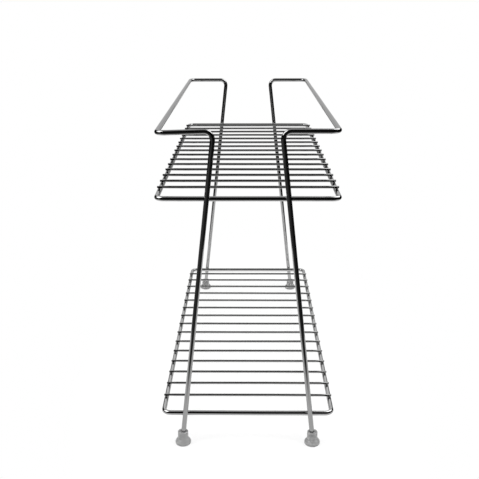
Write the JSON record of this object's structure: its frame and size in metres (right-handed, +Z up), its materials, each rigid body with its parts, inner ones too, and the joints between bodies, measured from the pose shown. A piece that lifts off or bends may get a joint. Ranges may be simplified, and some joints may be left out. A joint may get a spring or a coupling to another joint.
{
  "type": "kitchen rack",
  "caption": "Long two-tier shelf rack of bent round wire: two slatted wire shelves between splayed side frames with raised top rails, standing on soft cap feet.",
  "frame": {"origin": "on the floor, at the middle of the rack", "axes": "+X across the rack to its right side seen from the front, +Y along the rack from front to back, +Z up"},
  "size_m": [0.1992, 0.5156, 0.3659],
  "materials": {
    "frame_wire": "polished",
    "rim_wire": "polished",
    "cross_wire": "polished",
    "foot": "satin"
  },
  "bodies": {
    "root": {"side_frame_left": "frame_wire", "side_frame_right": "frame_wire", "lower_shelf_rim": "rim_wire", "upper_shelf_rim": "rim_wire", "lower_cross_wire_01": "cross_wire", "lower_cross_wire_02": "cross_wire", "lower_cross_wire_03": "cross_wire", "lower_cross_wire_04": "cross_wire", "lower_cross_wire_05": "cross_wire", "lower_cross_wire_06": "cross_wire", "lower_cross_wire_07": "cross_wire", "lower_cross_wire_08": "cross_wire", "lower_cross_wire_09": "cross_wire", "lower_cross_wire_10": "cross_wire", "lower_cross_wire_11": "cross_wire", "lower_cross_wire_12": "cross_wire", "lower_cross_wire_13": "cross_wire", "lower_cross_wire_14": "cross_wire", "lower_cross_wire_15": "cross_wire", "upper_cross_wire_01": "cross_wire", "upper_cross_wire_02": "cross_wire", "upper_cross_wire_03": "cross_wire", "upper_cross_wire_04": "cross_wire", "upper_cross_wire_05": "cross_wire", "upper_cross_wire_06": "cross_wire", "upper_cross_wire_07": "cross_wire", "upper_cross_wire_08": "cross_wire", "upper_cross_wire_09": "cross_wire", "upper_cross_wire_10": "cross_wire", "upper_cross_wire_11": "cross_wire", "upper_cross_wire_12": "cross_wire", "upper_cross_wire_13": "cross_wire", "upper_cross_wire_14": "cross_wire", "upper_cross_wire_15": "cross_wire", "foot_front_left": "foot", "foot_front_right": "foot", "foot_back_left": "foot", "foot_back_right": "foot"}
  },
  "joints": []
}
